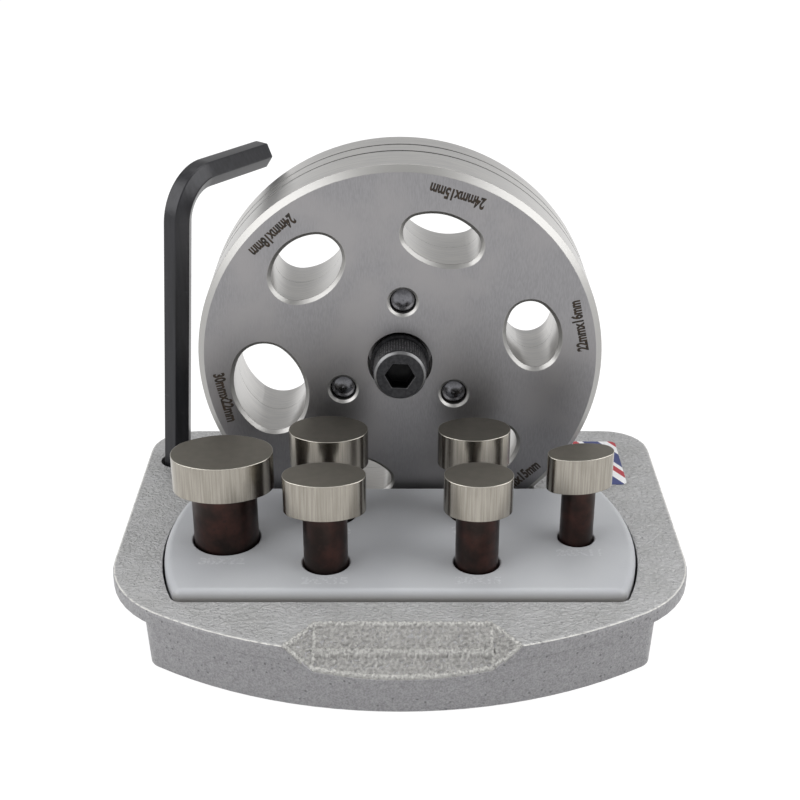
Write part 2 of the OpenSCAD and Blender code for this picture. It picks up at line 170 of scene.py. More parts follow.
sheet.materials.append(sweep)
print("floor:", 2 * FLOOR, "metres square")

# %% [markdown]
# ## Soft boxes
# Two large soft boxes stand left and right, a little in front of the tool, and a
# weaker one hangs overhead behind it. A small lamp would make a hard hot spot on
# ground steel, while a large one gives it a wide soft highlight.

# %% Soft boxes
SOFT_BOXES = [  # name, place, what it points at, width, height, watts
    ("left_box", (-0.75, -0.30, 0.65), (0, 0, 0.06), 0.95, 0.95, 7.6),
    ("right_box", (0.78, -0.12, 0.60), (0, 0, 0.06), 0.9, 0.9, 6.6),
    ("top_box", (0, 0.35, 0.95), (0, 0, 0), 0.70, 0.50, 2.4),
]
for name, place, aim, width, height, watts in SOFT_BOXES:
    lamp = bpy.data.lights.new(name, "AREA")
    lamp.shape = "RECTANGLE"
    lamp.size, lamp.size_y, lamp.energy = width, height, watts
    box = bpy.data.objects.new(name, lamp)
    bpy.context.scene.collection.objects.link(box)
    box.location = place
    box.rotation_euler = (Vector(aim) - Vector(place)).to_track_quat("-Z", "Y").to_euler()
print("studio:", len(SOFT_BOXES), "soft boxes")

# %% [markdown]
# ## Sizes from the drawing
# Where a piece stands comes from the frame. The plates stand on edge, so their axis
# runs along Y. The whole disc has rolled a little in its trough, which turns every
# opening by the same angle. All of these are in millimetres and degrees.

# %% Sizes
FACE_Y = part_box("front_plate")[0][1] * 1000          # the disc's face
SCREW_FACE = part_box("clamp_screw")[0][1] * 1000      # the face of the screw's head
DISC_X, DISC_Z = [sum(corner[i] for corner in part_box("front_plate")) * 500 for i in (0, 2)]
STAND_TOP = 20
BLOCK_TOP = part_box("punch_block")[1][2] * 1000
HEAD_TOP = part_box("punch_30x22")[1][2] * 1000
HEAD_HEIGHT = 11.3
ROLL = -2.5
OVALS = [  # node, body, length and width, hole's radius, direction of its opening
    ("punch_30x22", "punch_a", (30, 22), 10.05, 195),
    ("punch_24x18", "punch_b", (24, 18), 8.15, 135),
    ("punch_24x15", "punch_c", (24, 15), 6.85, 75),
    ("punch_22x16", "punch_d", (22, 16), 7.15, 15),
    ("punch_20x15", "punch_e", (20, 15), 6.7, -45),
    ("punch_20x11", "punch_f", (20, 11), 5.4, -105),
]
print("disc's centre at", round(DISC_X, 2), round(DISC_Z, 2), "and its face at", round(FACE_Y, 2))

# %% [markdown]
# ## How a finish is made
# Each finish is one Principled shader fed by a few patterns. Every pattern reads
# Object coordinates in millimetres, so its scale is the real size of what it
# draws: a pore, a grinding line, a cloud of wear. `cloud` is the pattern that they
# share: noise of a given size, pulled long where the real marks are long, and
# eased so that it runs from 0 to 1. Where wear, a painted highlight or a painted
# shade depends on which way a surface faces, the finish asks the normal: its parts
# 0, 1 and 2 are X, Y and Z.

# %% Finishes' shared parts
def new_finish(name, **sockets):
    """A material, its tree and shader, the place in mm, and how much it faces X, Y and Z."""
    finish = bpy.data.materials.new(name)
    finish.use_nodes = True
    tree = finish.node_tree
    shader = tree.nodes["Principled BSDF"]
    for socket, value in sockets.items():
        shader.inputs[socket.replace("_", " ")].default_value = value
    metres = add(tree, "ShaderNodeTexCoord", out="Object")
    place = add(tree, "ShaderNodeVectorMath", {0: metres, "Scale": 1000.0}, operation="SCALE")
    normal = add(tree, "ShaderNodeNewGeometry", out="True Normal")
    facing = add(tree, SPLIT, normal).node.outputs
    return finish, tree, shader, place, facing


def cloud(tree, place, size, low=0.3, high=0.7, detail=2.0, stretch=(1, 1, 1), swirl=0.0):
    """Noise with lumps about size mm wide, from 0 below low to 1 above high."""
    pulled = add(tree, "ShaderNodeVectorMath", place, [1 / (size * s) for s in stretch], **TIMES)
    lumps = add(tree, "ShaderNodeTexNoise", {"Vector": pulled, "Scale": 1.0, "Detail": detail,
                                             "Distortion": swirl})
    return add(tree, RANGE, lumps, low, high, interpolation_type="SMOOTHSTEP")


def connect(tree, shader, **outputs):
    """Feeds the shader's sockets; Normal is a height in mm, which becomes a bump."""
    for socket, output in outputs.items():
        if socket == "Normal":
            output = add(tree, "ShaderNodeBump", {"Height": output, "Distance": mm(1)})
        tree.links.new(output, shader.inputs[socket.replace("_", " ")])


print("patterns ready")

# %% [markdown]
# ## Painted cast iron
# The stand is sand-cast iron under silver-grey hammertone enamel. The enamel
# draws together into short soft wrinkles on the flat top, where it lay thick; on
# the walls it is thin, and the casting's sand and a few gas pores show through.
# A broken pale line runs along the top edge, just below the flat: partly paint
# worn bright by handling, partly a painted highlight on the edge's round. The
# wrinkles are a little over a millimetre apart and the pale line is 0.3 mm wide,
# as on the real stand. Sand grains and pores are drawn about twice as coarse as
# real ones, so that they show.

# %% Hammertone enamel
WRINKLE, SAND, PORES_PER_MM = 1.1, 0.5, 0.55         # sizes in millimetres, and cells per millimetre
PALE_LINE_BELOW_TOP = 0.26
iron_paint, tree, shader, place, facing = new_finish("hammertone_enamel_on_cast_iron", Metallic=0.3)
top = add(tree, RANGE, facing[2], 0.80, 0.97)
wrinkles = cloud(tree, place, WRINKLE, 0.3, 0.7, detail=2.5, stretch=(1.3, 1, 1), swirl=0.8)
sand = cloud(tree, place, SAND, 0.25, 0.75, detail=1.0)
specks = add(tree, "ShaderNodeTexVoronoi", {"Vector": place, "Scale": PORES_PER_MM}).node.outputs
pore = add(tree, RANGE, specks["Distance"], 0.12, 0.25, 1.0, 0.0)
half_of_them = add(tree, MATH, add(tree, SPLIT, specks["Color"]), 0.5, operation="GREATER_THAN")
pore = add(tree, MATH, pore, half_of_them, **TIMES)
pore = add(tree, MATH, pore, add(tree, RANGE, top, 0, 1, 1.0, 0.6), **TIMES)

paint = add(tree, MIX, {0: cloud(tree, place, 9, detail=3.0), 6: "#A3A3A3", 7: "#ADADAE"}, **COLOUR)
wall = add(tree, MIX, {0: sand, 6: "#817F82", 7: "#99999B"}, **COLOUR)
paint = add(tree, MIX, {0: top, 6: wall, 7: paint}, **COLOUR)
crests = add(tree, MATH, wrinkles, add(tree, RANGE, top, 0, 1, 0.16, 0.36), **TIMES)
paint = add(tree, MIX, {0: crests, 6: paint, 7: "#C8C8C8"}, **COLOUR)
# A pale line on the round just below the flat: partly worn paint, partly a painted highlight.
edge = add(tree, MATH, add(tree, SPLIT, place, out=2), STAND_TOP - PALE_LINE_BELOW_TOP, operation="SUBTRACT")
edge = add(tree, RANGE, add(tree, MATH, edge, operation="ABSOLUTE"), 0.05, 0.16, 1.0, 0.0)
edge = add(tree, MATH, edge, add(tree, MATH, facing[2], 0.97, operation="LESS_THAN"), **TIMES)
worn_and_highlit_line = add(tree, MATH, edge, cloud(tree, place, 1.6, 0.28, 0.5, 4.0), **TIMES)
paint = add(tree, MIX, {0: worn_and_highlit_line, 6: paint, 7: "#D9D8D4"}, **COLOUR)
paint = add(tree, MIX, {0: add(tree, MATH, pore, 0.65, **TIMES), 6: paint, 7: "#57575A"}, **COLOUR)

lumps = add(tree, MATH, wrinkles, add(tree, RANGE, top, 0, 1, 0.02, 0.34), **TIMES)
lumps = add(tree, MATH, lumps, add(tree, MATH, sand, 0.025, **TIMES), operation="ADD")
lumps = add(tree, MATH, lumps, add(tree, MATH, pore, 0.12, **TIMES), operation="SUBTRACT")
connect(tree, shader, Base_Color=paint, Normal=lumps,
        Roughness=add(tree, RANGE, wrinkles, 0, 1, 0.5, 0.36))
print("painted:", iron_paint.name)

# %% [markdown]
# ## Painted rough casting
# The plaque on the front edge has the same enamel over a much rougher ground. Its
# ridges are painted pale: partly paint rubbed by hands and cloths, partly a painted
# highlight. How pale they are is stored in the plaque's mesh, as an attribute, when
# that mesh is made below.

# %% Hammertone enamel on the plaque
rough_iron, tree, shader, place, facing = new_finish("hammertone_enamel_on_rough_casting", Metallic=0.3)
sand = cloud(tree, place, SAND, 0.25, 0.75)
peaks = cloud(tree, place, 0.9, 0.35, 0.7)
paint = add(tree, MIX, {0: peaks, 6: "#8E8D8B", 7: "#A3A29F"}, **COLOUR)
# The ridges' paleness, stored in the mesh: partly rubbed paint, partly a painted highlight.
rub_and_highlight = add(tree, "ShaderNodeAttribute", attribute_name="rub_and_highlight", out="Fac")
rub_and_highlight = add(tree, MATH, rub_and_highlight, cloud(tree, place, 0.7, 0.3, 0.6), **TIMES)
paint = add(tree, MIX, {0: rub_and_highlight, 6: paint, 7: "#D3D2CE"}, **COLOUR)
connect(tree, shader, Base_Color=paint, Normal=add(tree, MATH, sand, 0.08, **TIMES),
        Roughness=add(tree, RANGE, peaks, 0, 1, 0.42, 0.3))
print("painted:", rough_iron.name)

# %% [markdown]
# ## Pale resin
# The punch block is a smooth moulded plastic, a little bluish, with a soft sheen.
# Light creeps a little way into it. Its eased edges are painted a paler line, a
# painted highlight, and the foot of its front face is painted a darker warm grey,
# a painted shade. Resin has no grain of its own, so the other patterns are only a
# slow change of tint and a low unevenness.

# %% Moulded resin
LIGHT_CREEPS = 0.075                                 # as far for red as for green and blue
resin, tree, shader, place, facing = new_finish(
    "moulded_grey_resin", Roughness=0.38, Subsurface_Weight=0.08, Subsurface_Radius=(1, 1, 1),
    Subsurface_Scale=mm(LIGHT_CREEPS))
# Painted highlight: the eased fillets, which face half up, are painted paler.
rounded = add(tree, MATH, add(tree, RANGE, facing[2], 0.45, 0.70),
              add(tree, RANGE, facing[2], 0.90, 0.99, 1.0, 0.0), **TIMES)
tint = add(tree, MIX, {0: cloud(tree, place, 30, detail=3.0), 6: "#B0B2B6", 7: "#B7B9BC"}, **COLOUR)
tint = add(tree, MIX, {0: add(tree, MATH, rounded, 0.2, **TIMES), 6: tint, 7: "#C0C2C6"}, **COLOUR)
# Painted shade: the foot of the front face, just above the stand, is painted a darker warm grey.
above = add(tree, MATH, add(tree, SPLIT, place, out=2), STAND_TOP, operation="SUBTRACT")
painted_foot_shade = add(tree, MATH, add(tree, RANGE, above, 0.4, 2.6, 0.9, 0.0),
              add(tree, RANGE, facing[1], -0.7, -0.2, 1.0, 0.0), **TIMES)
tint = add(tree, MIX, {0: painted_foot_shade, 6: tint, 7: "#888683"}, **COLOUR)
connect(tree, shader, Base_Color=tint,
        Normal=add(tree, MATH, cloud(tree, place, 0.8), 0.012, **TIMES))
print("moulded:", resin.name)

# %% [markdown]
# ## Raised figures
# The sizes on the block stand a hair proud of it, in the same resin. Fingers rub
# what stands proud, so the figures are a shade paler and duller than the block
# around them. Relief as low as this shows only as a change of tone, so the figures
# get a finish of their own and no depth.

# %% Raised figures
raised_numbers, tree, shader, place, facing = new_finish("raised_numbers_in_resin", Roughness=0.45)
tint = add(tree, MIX, {0: cloud(tree, place, 0.8, 0.35, 0.6), 6: "#B3B5B8", 7: "#C3C5C8"}, **COLOUR)
connect(tree, shader, Base_Color=tint)
print("moulded:", raised_numbers.name)

# %% [markdown]
# ## Ground and heat-treated tool steel
# Each punch is turned from tool steel. Its oval head is ground bright, so
# smooth that it mirrors its neighbours, with only faint upright lines. The end is
# lapped flat and lightly oiled, so it looks dark and even, inside an eased rim that
# is painted pale, a painted highlight.
# The shank keeps the brown-black skin of the hardening furnace, redder where it
# cooled last. One finish does for all three, because the height of a point and the
# way it faces tell them apart. Real grinding lines are too fine to show, so they
# are drawn 0.5 mm wide.

# %% Tool steel
tool_steel, tree, shader, place, facing = new_finish("ground_and_hardened_tool_steel", Metallic=1.0)
HEAD_FOOT = HEAD_TOP - HEAD_HEIGHT - 0.05            # a hair below the head's underside
on_head = add(tree, MATH, add(tree, SPLIT, place, out=2), HEAD_FOOT, operation="GREATER_THAN")
on_end = add(tree, RANGE, facing[2], 0.9, 0.99)
# Painted highlight: the head's eased rim, which faces half up, is painted pale.
painted_edge_highlight = add(tree, RANGE, facing[2], 0.2, 0.45)
lines = cloud(tree, place, 0.5, stretch=(1, 1, 30))
smears = cloud(tree, place, 5, 0.45, 0.75, 3.0, stretch=(1, 1, 2.5))
bright = add(tree, MIX, {0: lines, 6: "#948F86", 7: "#A6A198"}, **COLOUR)
bright = add(tree, MIX, {0: add(tree, MATH, smears, 0.4, **TIMES), 6: bright, 7: "#847F76"}, **COLOUR)
bright = add(tree, MIX, {0: painted_edge_highlight, 6: bright, 7: "#D2CEC4"}, **COLOUR)
lapped = add(tree, MIX, {0: cloud(tree, place, 2.5, detail=4.0), 6: "#76736B", 7: "#7B776F"}, **COLOUR)
skin = add(tree, MIX, {0: cloud(tree, place, 7, 0.35, 0.7, 4.0), 6: "#322B29", 7: "#4A3531"}, **COLOUR)
skin = add(tree, MIX, {0: cloud(tree, place, 1.2, 0.5, 0.8, 3.0), 6: skin, 7: "#3A302E"}, **COLOUR)
head = add(tree, MIX, {0: on_end, 6: bright, 7: lapped}, **COLOUR)
steel = add(tree, MIX, {0: on_head, 6: skin, 7: head}, **COLOUR)
rough_head = add(tree, RANGE, on_end, 0, 1, 0.24, 0.42)
rough_skin = add(tree, RANGE, cloud(tree, place, 4), 0, 1, 0.3, 0.42)
connect(tree, shader, Base_Color=steel,
        Roughness=add(tree, MIX, {0: on_head, 2: rough_skin, 3: rough_head}),
        Normal=add(tree, MATH, lines, 0.0015, **TIMES))
print("hardened:", tool_steel.name)

# %% [markdown]
# ## Ground plates
# The three plates are turned, hardened and surface-ground. Their flat faces have
# a fine even grain and look grey, while rims, chamfers and the walls of the
# openings are turned or wire-cut bright; the chamfers are cut a little coarser.
# Oil stays in the joints between the rims, so the bevels there are dark. They
# begin well behind the front plate's own chamfers. A real grinding grain is finer
# than the 0.35 mm drawn here, which is as fine as the picture can show.

# %% Ground plate steel
BEHIND_CHAMFERS = FACE_Y + 8
plate_steel, tree, shader, place, facing = new_finish("surface_ground_plate_steel", Metallic=1.0)
across = add(tree, MATH, facing[1], operation="ABSOLUTE")
flat = add(tree, RANGE, across, 0.95, 0.995)
slope = add(tree, RANGE, across, 0.2, 0.5)
grain = cloud(tree, place, 0.35, 0.25, 0.75, stretch=(1, 1, 5))
grey = add(tree, MIX, {0: grain, 6: "#8C8B8D", 7: "#969597"}, **COLOUR)
grey = add(tree, MIX, {0: cloud(tree, place, 20, 0.4, 0.7, 3.0), 6: grey, 7: "#9A9899"}, **COLOUR)
turned = cloud(tree, place, 0.5, stretch=(20, 1, 20))
bright = add(tree, MIX, {0: turned, 6: "#BCBBBA", 7: "#CBC9C6"}, **COLOUR)
bright = add(tree, MIX, {0: slope, 6: bright, 7: "#A6A5A3"}, **COLOUR)
deep = add(tree, MATH, add(tree, SPLIT, place, out=1), BEHIND_CHAMFERS, operation="GREATER_THAN")
oily_bevel = add(tree, MATH, deep, slope, **TIMES)
bright = add(tree, MIX, {0: oily_bevel, 6: bright, 7: "#545453"}, **COLOUR)
connect(tree, shader, Base_Color=add(tree, MIX, {0: flat, 6: bright, 7: grey}, **COLOUR),
        Roughness=add(tree, RANGE, slope, 0, 1, 0.33, 0.42),
        Normal=add(tree, MATH, grain, 0.002, **TIMES))
print("ground:", plate_steel.name)

# %% [markdown]
# ## Burnt marks
# The sizes on the face were burnt in by a laser. That leaves a dull brown-black
# oxide, uneven from one pulse to the next, with no metal shine.

# %% Laser marks
burnt, tree, shader, place, facing = new_finish("laser_burnt_marks", Roughness=0.6)
tint = add(tree, MIX, {0: cloud(tree, place, 0.6, 0.35, 0.65, 3.0), 6: "#130E09", 7: "#332412"}, **COLOUR)
connect(tree, shader, Base_Color=tint)
print("burnt:", burnt.name)

# %% [markdown]
# ## Blacked screw
# Screw and washer are blacked in hot salts: a thin oxide that stays a little
# metallic. It is deepest in the screw's socket, which old oil keeps black. The
# rounded edge of the head is painted pale, partly oxide rubbed off where the tool
# is handled and partly a painted highlight, and the crests of the knurl are rubbed
# pale. How far a point lies from the disc's axis, and how deep behind the screw's
# face, tells the socket from the knurl.

# %% Black oxide
SOCKET_R, KNURL_R, KNURL_FOOT = 4.5, 8.0, 9.9        # radii, and the knurl's end behind the face
black_oxide, tree, shader, place, facing = new_finish("black_oxide_on_steel", Metallic=0.8)
skin = cloud(tree, place, 1.1, detail=4.0)
tint = add(tree, MIX, {0: skin, 6: "#29292B", 7: "#3E3E40"}, **COLOUR)
across = add(tree, MATH, facing[1], operation="ABSOLUTE")
# The head's rounded edge is painted pale: partly rubbed oxide, partly a painted highlight.
rub_and_highlight = add(tree, MATH, add(tree, RANGE, across, 0.25, 0.6),
             add(tree, RANGE, across, 0.8, 0.97, 1.0, 0.0), **TIMES)
tint = add(tree, MIX, {0: add(tree, MATH, rub_and_highlight, 0.6, **TIMES), 6: tint, 7: "#8F8F90"}, **COLOUR)
beside = add(tree, "ShaderNodeVectorMath", place, (1, 0, 1), **TIMES)
radius = add(tree, "ShaderNodeVectorMath", beside, (DISC_X, 0, DISC_Z), operation="DISTANCE", out="Value")
depth = add(tree, MATH, add(tree, SPLIT, place, out=1), SCREW_FACE, operation="SUBTRACT")
socket = add(tree, MATH, add(tree, RANGE, radius, SOCKET_R, SOCKET_R + 0.4, 1.0, 0.0),
             add(tree, RANGE, depth, 0.2, 1.2), **TIMES)
tint = add(tree, MIX, {0: socket, 6: tint, 7: "#0B0B0C"}, **COLOUR)
crest = add(tree, MATH, add(tree, RANGE, radius, KNURL_R, KNURL_R + 0.1),
            add(tree, MATH, depth, KNURL_FOOT, operation="LESS_THAN"), **TIMES)
crest = add(tree, MATH, crest, cloud(tree, place, 0.7, 0.35, 0.65), **TIMES)
tint = add(tree, MIX, {0: crest, 6: tint, 7: "#8A8A8C"}, **COLOUR)
connect(tree, shader, Base_Color=tint, Roughness=add(tree, RANGE, skin, 0, 1, 0.3, 0.42),
        Normal=add(tree, MATH, skin, 0.004, **TIMES))
print("blacked:", black_oxide.name)

# %% [markdown]
# ## Guide pins
# The guide pins are hardened and polished, so they mirror the dark bores around
# them and look dark themselves. Oil leaves a ring round each domed end. On a dome,
# the way the surface faces tells how far out a point is, so the ring needs nothing
# else.

# %% Guide pins
RING_STARTS, RING_DARK = 0.885, 0.85                 # how much the dome faces forward there
pin_steel, tree, shader, place, facing = new_finish("polished_dark_pin_steel", Metallic=1.0)
polish = cloud(tree, place, 0.8, detail=3.0)
tint = add(tree, MIX, {0: polish, 6: "#66666A", 7: "#76767A"}, **COLOUR)
forward = add(tree, MATH, facing[1], operation="ABSOLUTE")
oily_rim = add(tree, RANGE, forward, RING_DARK, RING_STARTS, 1.0, 0.0)
tint = add(tree, MIX, {0: oily_rim, 6: tint, 7: "#161617"}, **COLOUR)
connect(tree, shader, Base_Color=tint, Roughness=add(tree, RANGE, polish, 0, 1, 0.2, 0.28))
print("polished:", pin_steel.name)

# %% [markdown]
# ## Hex key
# The key is drawn to its hexagon, which leaves faint lines along it, and then
# blacked. Its flats are smoother than the screw's forged head, so they look more
# like black lacquer, with a few pale scuffs. Real drawing lines are too fine to
# show, so they are drawn 1.2 mm wide.

# %% Drawn and blacked key
key_oxide, tree, shader, place, facing = new_finish("black_oxide_on_drawn_steel", Metallic=0.35)
scuff = cloud(tree, place, 3, 0.62, 0.85, 4.0)
drawn = cloud(tree, place, 1.2, stretch=(1, 1, 20))
tint = add(tree, MIX, {0: drawn, 6: "#222225", 7: "#2A2A2E"}, **COLOUR)
tint = add(tree, MIX, {0: add(tree, MATH, scuff, 0.3, **TIMES), 6: tint, 7: "#5A5A5E"}, **COLOUR)
connect(tree, shader, Base_Color=tint, Roughness=add(tree, RANGE, scuff, 0, 1, 0.3, 0.45))
print("blacked:", key_oxide.name)

# %% [markdown]
# ## Printed label
# A small white film label is stuck on the stand's back corner. It gets a plain
# printed pattern of its own: slanting red and blue bands across white. The bands
# come from a length that starts again at every repeat, so no picture is needed.

# %% Printed film
BAND_REPEAT, SLANT = 13, 0.6
BANDS = [(0.12, 0.32, "#B23A44"), (0.46, 0.88, "#3A4478")]     # start and end in a repeat, ink
film, tree, shader, place, facing = new_finish("printed_white_film", Roughness=0.3)
across, along = add(tree, SPLIT, place).node.outputs[:2]
slant = add(tree, MATH, across, add(tree, MATH, along, SLANT, **TIMES), operation="ADD")
repeat = add(tree, MATH, add(tree, MATH, slant, 1 / BAND_REPEAT, **TIMES), operation="FRACT")
fibres = cloud(tree, place, 0.7)
printed = add(tree, MIX, {0: fibres, 6: "#E9E9EB", 7: "#F2F2F3"}, **COLOUR)
for start, end, ink in BANDS:
    inside = add(tree, MATH, add(tree, MATH, repeat, start, operation="GREATER_THAN"),
                 add(tree, MATH, repeat, end, operation="LESS_THAN"), **TIMES)
    printed = add(tree, MIX, {0: inside, 6: printed, 7: ink}, **COLOUR)
connect(tree, shader, Base_Color=printed, Normal=add(tree, MATH, fibres, 0.002, **TIMES))
print("printed:", film.name)

# %% [markdown]
# ## Which piece has which finish
# The CAD pieces keep their meshes and places. Only their material changes: one
# table names the finish of each, and the six punches share theirs.

# %% Put the finishes on the CAD pieces
FINISH = {"stand_casting": iron_paint, "stand_label": film, "punch_block": resin,
          "front_plate": plate_steel, "middle_plate": plate_steel, "back_plate": plate_steel,
          "guide_pin_top": pin_steel, "guide_pin_left": pin_steel,
          "guide_pin_right": pin_steel, "clamp_screw": black_oxide,
          "screw_washer": black_oxide, "hex_key": key_oxide}
FINISH.update({oval[0]: tool_steel for oval in OVALS})
for name, finish in FINISH.items():
    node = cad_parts[name]
    node.data.materials.clear()
    node.data.materials.append(finish)
print(len(FINISH), "nodes finished")

# %% [markdown]
# ## Eased edges
# A real edge is never perfectly sharp: it has a tiny round that catches the
# light, and on bright steel that thin line is what shows the shape. The CAD
# meshes stay as they are, so the pieces whose edges show most each get a copy,
# merged into one skin and bevelled by a Bevel modifier that only takes the sharp
# edges. Weighted normals keep the flats flat beside those rounds. The copy then
# stands for the CAD piece.

# %% Pieces with eased edges
SAME_POINT, SAME_PLANE, SHARP = mm(0.003), math.radians(0.5), math.radians(28)
EASED = [(*oval[:2], 0.14) for oval in OVALS]                  # node, body, width of the round
EASED += [("hex_key", "key", 0.35), ("clamp_screw", "screw", 0.18), ("punch_block", "block", 0.2),
          ("front_plate", "front", 0.1)]


def into_mesh(piece):
    """The piece as its modifiers make it, as a plain mesh."""
    graph = bpy.context.evaluated_depsgraph_get()
    return bpy.data.meshes.new_from_object(piece.evaluated_get(graph))


def eased_copy(node_name, body, width):
    """A copy of a CAD piece whose sharp edges are rounded by width mm."""
    skin = bmesh.new()
    skin.from_mesh(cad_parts[node_name].data)
    bmesh.ops.remove_doubles(skin, verts=skin.verts, dist=SAME_POINT)
    bmesh.ops.dissolve_limit(skin, angle_limit=SAME_PLANE, verts=skin.verts, edges=skin.edges)
    mesh = bpy.data.meshes.new(node_name + "_eased")
    skin.to_mesh(mesh)
    skin.free()
    mesh.shade_smooth()
    mesh.materials.append(FINISH[node_name])
    piece = bpy.data.objects.new(node_name + "_eased", mesh)
    bpy.context.scene.collection.objects.link(piece)
    bevel = piece.modifiers.new("eased", "BEVEL")
    bevel.width, bevel.segments = mm(width), 2
    bevel.limit_method, bevel.angle_limit = "ANGLE", SHARP
    piece.modifiers.new("flats_stay_flat", "WEIGHTED_NORMAL").weight = 80
    piece.data = into_mesh(piece)
    piece.modifiers.clear()
    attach(piece, body)
    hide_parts(node_name)
    return piece


eased = [eased_copy(node, body, width) for node, body, width in EASED]
print("eased, with faces:", {piece.name: len(piece.data.polygons) for piece in eased})

# %% [markdown]
# ## Running Geometry Nodes
# What repeats is made by a Geometry Nodes tree with named inputs, so that the
# same tree could make it at another size. `new_tree` starts one, and `node_piece`
# runs it once with the real sizes and keeps the result as a plain mesh.

# %% Helpers for Geometry Nodes
def node_piece(name, tree, values, start=None):
    """Runs a Geometry Nodes tree with the given inputs and keeps the result as a mesh."""
    piece = bpy.data.objects.new(name, start or bpy.data.meshes.new(name))
    bpy.context.scene.collection.objects.link(piece)
    maker = piece.modifiers.new("maker", "NODES")
    maker.node_group = tree
    for item in tree.interface.items_tree:
        if item.item_type == "SOCKET" and item.in_out == "INPUT" and item.name in values:
            maker[item.identifier] = values[item.name]
    piece.data = into_mesh(piece)
    piece.modifiers.clear()
    return piece


def new_tree(name, **inputs):
    """A Geometry Nodes tree with named inputs; gives the tree and its inputs' outputs."""
    tree = bpy.data.node_groups.new(name, "GeometryNodeTree")
    tree.interface.new_socket("Geometry", in_out="INPUT", socket_type="NodeSocketGeometry")
    for label, kind in inputs.items():
        tree.interface.new_socket(label, in_out="INPUT", socket_type="NodeSocket" + kind)
    tree.interface.new_socket("Geometry", in_out="OUTPUT", socket_type="NodeSocketGeometry")
    return tree, add(tree, "NodeGroupInput").node.outputs


print("ready to run trees")

# %% [markdown]
# ## Knurl on the screw's head
# A socket screw has straight teeth pressed round its head, so that fingers can
# turn it. They repeat, so Geometry Nodes make them: a circle of points carries one
# slim tooth each, turned outwards. A tooth is a four-sided bar, half sunk in the
# head. The teeth are drawn a little wider than real ones, so that they show.

# %% Knurl
knurl, given = new_tree("knurl_teeth", Teeth="Int", Radius="Float", Length="Float", Pitch="Float",
                        Depth="Float", Finish="Material")
tooth = add(knurl, "GeometryNodeMeshCylinder", {"Vertices": 4, "Radius": 0.5, "Depth": 1.0})
shape = add(knurl, "ShaderNodeCombineXYZ", given["Depth"], given["Pitch"], given["Length"])
tooth = add(knurl, "GeometryNodeTransform", {"Geometry": tooth, "Scale": shape})
ring = add(knurl, "GeometryNodeMeshCircle", {"Vertices": given["Teeth"], "Radius": given["Radius"]})
east, north = add(knurl, SPLIT, add(knurl, "GeometryNodeInputPosition")).node.outputs[:2]
turn = add(knurl, "ShaderNodeCombineXYZ", {"Z": add(knurl, MATH, north, east, operation="ARCTAN2")})
teeth = add(knurl, "GeometryNodeInstanceOnPoints", {"Points": ring, "Instance": tooth, "Rotation": turn})
teeth = add(knurl, "GeometryNodeRealizeInstances", teeth)
teeth = add(knurl, "GeometryNodeSetMaterial", {"Geometry": teeth, "Material": given["Finish"]})
add(knurl, "NodeGroupOutput", teeth)

TEETH, KNURL_LENGTH, KNURL_START = 60, 8.4, 1.2      # how many, how long, how far behind the face
TOOTH_DEPTH, TOOTH_SUNK = 0.26, 0.02
teeth = node_piece("screw_knurl", knurl,
                   {"Teeth": TEETH, "Radius": mm(KNURL_R - TOOTH_SUNK), "Length": mm(KNURL_LENGTH),
                    "Pitch": mm(math.tau * KNURL_R / TEETH), "Depth": mm(TOOTH_DEPTH),
                    "Finish": black_oxide})
middle = mm(DISC_X, SCREW_FACE + KNURL_START + KNURL_LENGTH / 2, DISC_Z)
teeth.data.transform(Matrix.Translation(middle) @ Matrix.Rotation(math.pi / 2, 4, "X"))
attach(teeth, "screw")
print("knurl:", len(teeth.data.polygons), "faces")

# %% [markdown]
# ## The plaque's surface
# The sloping plaque on the front edge lies in a notch with six sides: a long
# straight part and a pointed facet at each end. Its surface follows from the
# drawing's sizes, so one function gives the height of any point on it. A raised
# bead runs round its border and along the folds between the facets, and a wider
# rib runs along its middle.

# %% Surface of the plaque
PLAQUE_X, PLAQUE_HALF, PLAQUE_POINT = 0.8, 24.5, 8.2      # middle, half of the straight part, its points
PLAQUE_TOP_Y, PLAQUE_SLOPE, POINT_SLOPE = -50.2, 9.2 / 15.8, 0.825
FRONT_R, FRONT_CENTRE_Y = 130, 64                         # the arc of the stand's front
SKIRT_BACK, FLANGE_ENDS = 0.68, 3                         # how far the skirt stands back, and where
BEAD_HALF, BEAD_HEIGHT, FOLD_BEAD, END_SLANT = 0.7, 0.5, 0.8, 0.8
RIB_Y, RIB_HALF, RIB_HEIGHT, RIB_PAST_FOLD, RIB_PALENESS = -58.57, 0.8, 0.85, 0.2, 0.35


def plaque_point(across, down):
    """A point of the plaque and its paleness from rubbing and painted highlight, for across from -1 to 1
    and down from 0 to 1.
    """
    x = across * (PLAQUE_HALF + PLAQUE_POINT)
    beyond = max(0, abs(x) - PLAQUE_HALF)
    wall_r = FRONT_R - (SKIRT_BACK if beyond < FLANGE_ENDS else 0)
    wall_y = FRONT_CENTRE_Y - math.sqrt(wall_r ** 2 - (x + PLAQUE_X) ** 2)
    top_y = PLAQUE_TOP_Y - beyond * POINT_SLOPE / PLAQUE_SLOPE
    y = top_y + (wall_y - top_y) * down
    z = STAND_TOP + (y - PLAQUE_TOP_Y) * PLAQUE_SLOPE + beyond * POINT_SLOPE
    from_edge = min(y - wall_y, top_y - y, (PLAQUE_HALF + PLAQUE_POINT - abs(x)) * END_SLANT)
    from_fold = abs(abs(x) - PLAQUE_HALF)
    bead = max(0, 1 - abs(from_edge - BEAD_HALF) / BEAD_HALF, FOLD_BEAD - from_fold / BEAD_HALF)
    on_rib = abs(y - RIB_Y) < RIB_HALF and abs(x) < PLAQUE_HALF + RIB_PAST_FOLD
    rib = RIB_HEIGHT if on_rib else 0
    # The last value is the ridges' paleness: partly rubbed paint, partly a painted highlight.
    return x + PLAQUE_X, y, z + max(bead * BEAD_HEIGHT, rib), bead + rib * RIB_PALENESS


print("top of the plaque at", [round(value, 2) for value in plaque_point(0, 0)[:3]])
